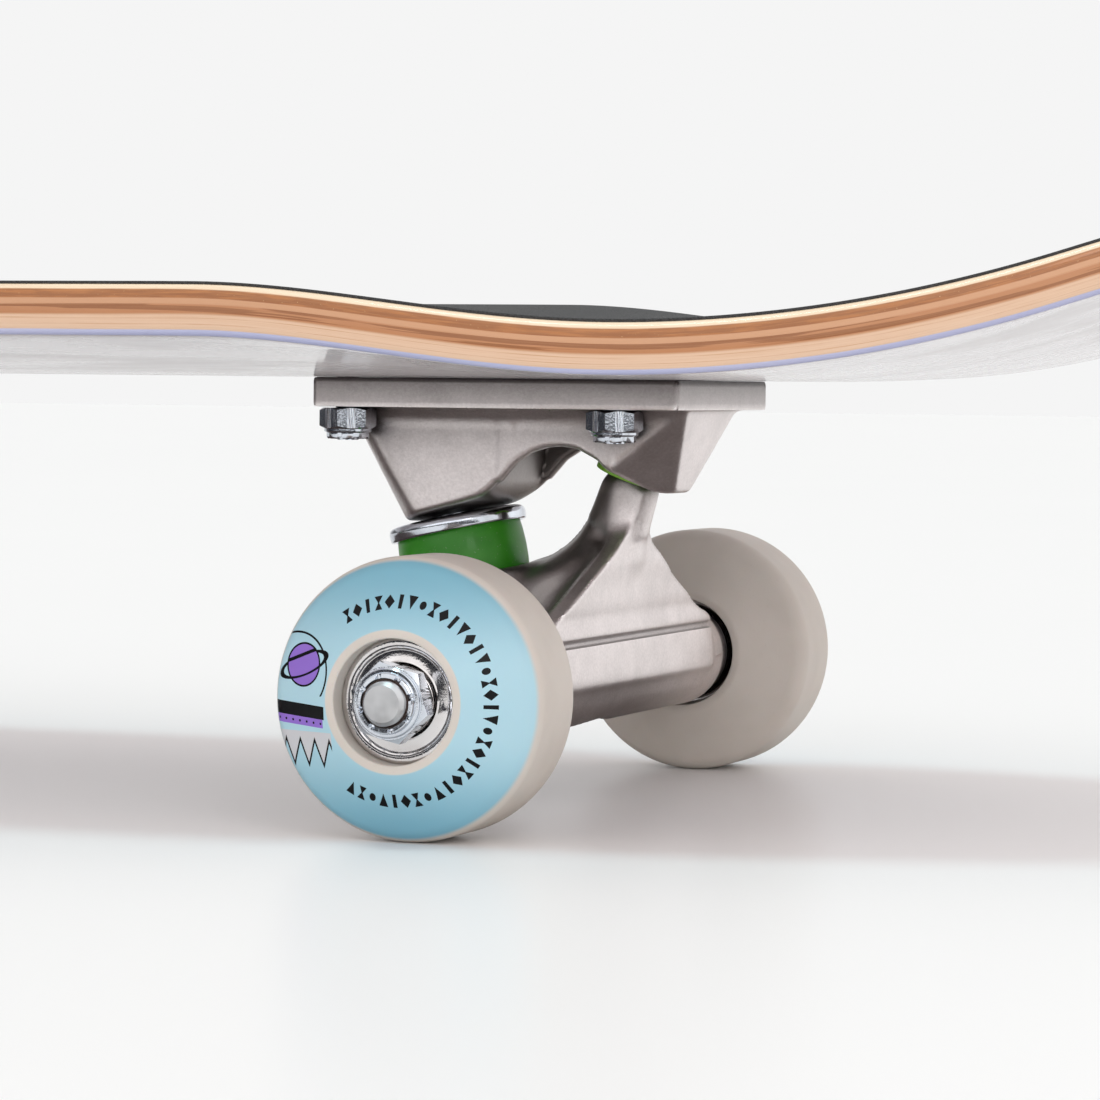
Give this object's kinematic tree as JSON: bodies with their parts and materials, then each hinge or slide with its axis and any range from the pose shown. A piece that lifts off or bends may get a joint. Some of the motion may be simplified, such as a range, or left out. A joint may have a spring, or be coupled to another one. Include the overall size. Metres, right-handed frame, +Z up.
{
  "type": "skateboard",
  "caption": "Double-kick street skateboard with a pressed maple deck, grip tape, kingpin trucks that steer on bushings and free-rolling urethane wheels.",
  "frame": {"origin": "on the floor under the middle of the deck, centre of the bounding box's base", "axes": "+X towards the nose along the board's length, +Y towards the left side when facing the nose, +Z up"},
  "size_m": [0.8, 0.203, 0.126],
  "materials": {
    "maple": "clear lacquered ply edge, pale painted gloss underside",
    "grip": "gritty abrasive sheet",
    "cast_aluminium": "tumbled sand-cast",
    "zinc_steel": "bright zinc plated",
    "bearing_steel": "polished",
    "bushing": "translucent green urethane, satin",
    "cup_plastic": "satin",
    "urethane": "satin cast urethane with a pale blue printed face"
  },
  "bodies": {
    "board": {"deck": "maple", "grip_tape": "grip", "front_baseplate": "cast_aluminium", "front_pivot_cup": "cup_plastic", "front_kingpin": "zinc_steel", "front_washer_upper": "zinc_steel", "front_bushing_upper": "bushing", "front_bushing_lower": "bushing", "front_washer_lower": "zinc_steel", "front_kingpin_nut": "zinc_steel", "front_inner_left_bolt": "zinc_steel", "front_inner_left_lock_nut": "zinc_steel", "front_inner_right_bolt": "zinc_steel", "front_inner_right_lock_nut": "zinc_steel", "front_outer_left_bolt": "zinc_steel", "front_outer_left_lock_nut": "zinc_steel", "front_outer_right_bolt": "zinc_steel", "front_outer_right_lock_nut": "zinc_steel", "rear_baseplate": "cast_aluminium", "rear_pivot_cup": "cup_plastic", "rear_kingpin": "zinc_steel", "rear_washer_upper": "zinc_steel", "rear_bushing_upper": "bushing", "rear_bushing_lower": "bushing", "rear_washer_lower": "zinc_steel", "rear_kingpin_nut": "zinc_steel", "rear_inner_left_bolt": "zinc_steel", "rear_inner_left_lock_nut": "zinc_steel", "rear_inner_right_bolt": "zinc_steel", "rear_inner_right_lock_nut": "zinc_steel", "rear_outer_left_bolt": "zinc_steel", "rear_outer_left_lock_nut": "zinc_steel", "rear_outer_right_bolt": "zinc_steel", "rear_outer_right_lock_nut": "zinc_steel"},
    "front_hanger": {"front_hanger": "cast_aluminium", "front_axle": "zinc_steel", "front_left_speed_ring": "zinc_steel", "front_left_axle_nut": "zinc_steel", "front_right_speed_ring": "zinc_steel", "front_right_axle_nut": "zinc_steel"},
    "front_left_wheel": {"front_left_wheel": "urethane", "front_left_bearing_outer": "bearing_steel", "front_left_bearing_inner": "bearing_steel"},
    "front_right_wheel": {"front_right_wheel": "urethane", "front_right_bearing_outer": "bearing_steel", "front_right_bearing_inner": "bearing_steel"},
    "rear_hanger": {"rear_hanger": "cast_aluminium", "rear_axle": "zinc_steel", "rear_left_speed_ring": "zinc_steel", "rear_left_axle_nut": "zinc_steel", "rear_right_speed_ring": "zinc_steel", "rear_right_axle_nut": "zinc_steel"},
    "rear_left_wheel": {"rear_left_wheel": "urethane", "rear_left_bearing_outer": "bearing_steel", "rear_left_bearing_inner": "bearing_steel"},
    "rear_right_wheel": {"rear_right_wheel": "urethane", "rear_right_bearing_outer": "bearing_steel", "rear_right_bearing_inner": "bearing_steel"}
  },
  "joints": [
    {"name": "front_steer", "type": "hinge", "parent": "board", "child": "front_hanger", "pos_m": [0.19913, 0, 0.0375], "axis": [0.757, 0, 0.6535], "range_deg": [-12, 12], "stiffness_Nm_per_rad": 40, "deforming": ["front_bushing_upper", "front_bushing_lower"]},
    {"name": "front_left_spin", "type": "hinge", "parent": "front_hanger", "child": "front_left_wheel", "pos_m": [0.22073, 0.08085, 0.025], "axis": [0, 1, 0], "continuous": true},
    {"name": "front_right_spin", "type": "hinge", "parent": "front_hanger", "child": "front_right_wheel", "pos_m": [0.22073, -0.08085, 0.025], "axis": [0, 1, 0], "continuous": true},
    {"name": "rear_steer", "type": "hinge", "parent": "board", "child": "rear_hanger", "pos_m": [-0.19913, 0, 0.0375], "axis": [-0.757, 0, 0.6535], "range_deg": [-12, 12], "stiffness_Nm_per_rad": 40, "deforming": ["rear_bushing_upper", "rear_bushing_lower"]},
    {"name": "rear_left_spin", "type": "hinge", "parent": "rear_hanger", "child": "rear_left_wheel", "pos_m": [-0.22073, 0.08085, 0.025], "axis": [0, 1, 0], "continuous": true},
    {"name": "rear_right_spin", "type": "hinge", "parent": "rear_hanger", "child": "rear_right_wheel", "pos_m": [-0.22073, -0.08085, 0.025], "axis": [0, 1, 0], "continuous": true}
  ]
}
